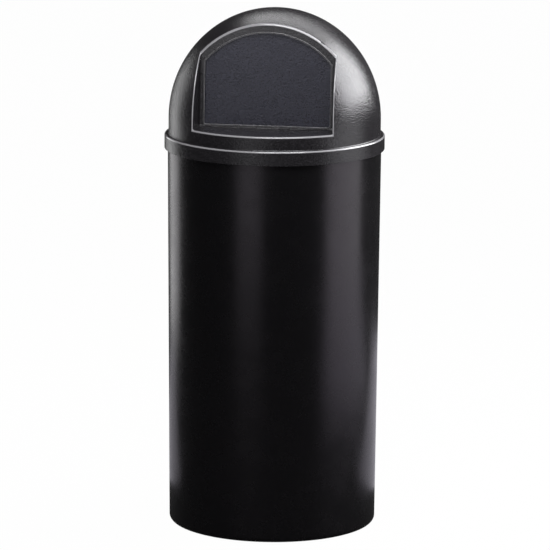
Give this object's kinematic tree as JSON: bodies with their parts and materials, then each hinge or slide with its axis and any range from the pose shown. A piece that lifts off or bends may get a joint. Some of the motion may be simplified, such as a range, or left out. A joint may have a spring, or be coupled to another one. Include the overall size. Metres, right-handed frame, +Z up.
{
  "type": "dome top waste receptacle",
  "caption": "Round indoor waste receptacle: tapered plastic container under a lift-off dome with an arched recess and a self-closing push door.",
  "frame": {"origin": "centre of the foot ring, on the floor", "axes": "+Z up along the container's axis; the recess and push door face -Y, +X is to the right of someone who faces the door"},
  "size_m": [0.391, 0.391, 0.927],
  "materials": {
    "container": "satin black polyethylene, smooth",
    "dome": "black polyethylene with a fine pebbled grain",
    "door": "black polyethylene with a fine pebbled grain",
    "band": "matt black elastic band",
    "zinc_steel": "bright zinc plated",
    "spring_steel": "oiled spring wire",
    "bumper": "matt black rubber"
  },
  "bodies": {
    "container": {"container_body": "container", "bag_retainer_band": "band"},
    "dome": {"dome_top": "dome", "hinge_rod": "zinc_steel", "rod_retainer_left": "zinc_steel", "rod_retainer_right": "zinc_steel", "door_spring_left": "spring_steel", "door_spring_right": "spring_steel", "door_bumper_left": "bumper", "door_bumper_right": "bumper"},
    "door": {"push_door": "door"}
  },
  "joints": [
    {"name": "dome_lift", "type": "slide", "parent": "container", "child": "dome", "axis": [0, 0, 1], "range_m": [0, 0.15]},
    {"name": "door_swing", "type": "hinge", "parent": "dome", "child": "door", "pos_m": [0, -0.06419, 0.89218], "axis": [1, 0, 0], "range_deg": [0, 75], "stiffness_Nm_per_rad": 0.25, "springref_deg": -91.67, "deforming": ["door_spring_left", "door_spring_right"]}
  ]
}
